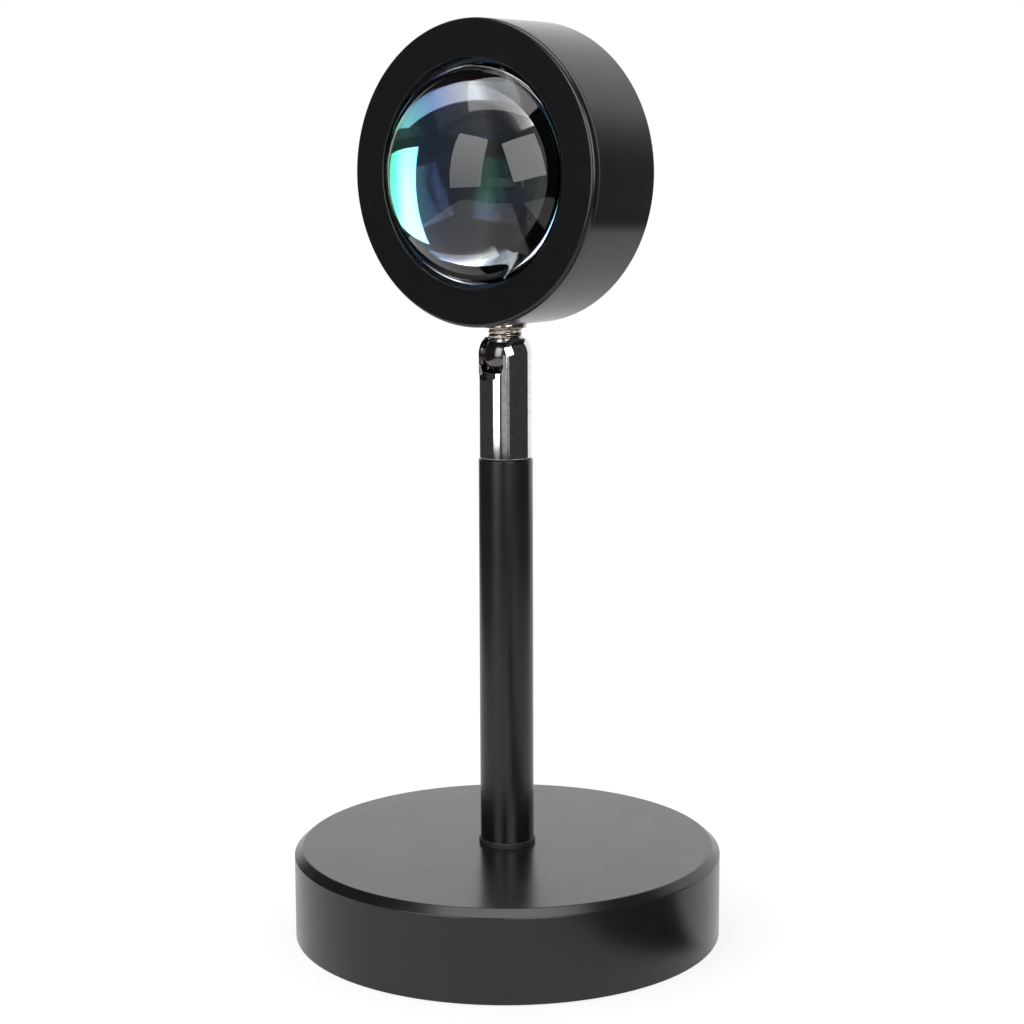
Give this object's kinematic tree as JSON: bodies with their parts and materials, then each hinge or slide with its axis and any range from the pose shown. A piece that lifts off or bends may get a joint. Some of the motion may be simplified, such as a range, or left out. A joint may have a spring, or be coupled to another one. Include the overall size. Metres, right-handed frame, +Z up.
{
  "type": "sunset projection lamp",
  "caption": "Table lamp with a weighted round base, a slim pole, a slotted ball swivel and a drum-shaped projector head with a domed lens over a colour filter.",
  "frame": {"origin": "centre of the flat underside, on the surface that the lamp stands on", "axes": "+Z up along the pole, -Y the way the projector head faces, with the cable inlet at +Y"},
  "size_m": [0.1, 0.1, 0.211],
  "materials": {
    "black_coat": "satin powder coat",
    "black_head": "matte black anodised",
    "cast_iron": "as cast",
    "zinc_steel": "zinc plated",
    "foam_rubber": "closed cell foam",
    "black_rubber": "moulded",
    "black_plastic": "moulded matte",
    "lead_insulation": "insulated wire",
    "brass": "turned",
    "chrome": "polished",
    "nickel": "nickel plated",
    "clear_glass": "polished",
    "filter_glass": "thin film coated",
    "aluminium": "turned",
    "thermal_silicone": "soft sheet",
    "white_board": "solder mask",
    "led_phosphor": "phosphor"
  },
  "bodies": {
    "stand": {"base_shell": "black_coat", "base_weight": "cast_iron", "bottom_plate": "zinc_steel", "plate_screws": "zinc_steel", "base_pad": "foam_rubber", "cable_grommet": "black_rubber", "pole_foot_ring": "black_rubber", "pole_tube": "black_coat", "foot_insert": "zinc_steel", "foot_washer": "zinc_steel", "foot_nut": "zinc_steel", "top_insert": "zinc_steel", "turn_washer": "black_plastic", "turn_bolt": "zinc_steel", "bolt_washer": "zinc_steel", "pole_leads": "lead_insulation"},
    "socket": {"swivel_socket": "chrome", "socket_plug": "brass", "ball_seat": "nickel", "seat_springs": "zinc_steel"},
    "ball": {"ball_stud": "nickel", "stud_collar": "nickel", "stud_lock_washer": "zinc_steel", "stud_nut": "zinc_steel"},
    "head": {"head_body": "black_head", "front_bezel": "black_head", "lens": "clear_glass", "lens_gasket": "black_rubber", "colour_filter": "filter_glass", "retaining_ring": "black_plastic", "light_baffle": "black_plastic", "heat_block": "aluminium", "thermal_pad": "thermal_silicone", "led_board": "white_board", "led_emitter": "led_phosphor", "led_screws": "zinc_steel", "head_leads": "lead_insulation"}
  },
  "joints": [
    {"name": "socket_turn", "type": "hinge", "parent": "stand", "child": "socket", "pos_m": [0, 0, 0.1127], "axis": [0, 0, 1], "range_deg": [-170, 170]},
    {"name": "head_tilt", "type": "hinge", "parent": "socket", "child": "ball", "pos_m": [0, 0, 0.1364], "axis": [0.9848, -0.1736, 0], "range_deg": [0, 90]},
    {"name": "head_spin", "type": "hinge", "parent": "ball", "child": "head", "pos_m": [0, 0, 0.143], "axis": [0, 0, 1], "range_deg": [-170, 170]}
  ]
}
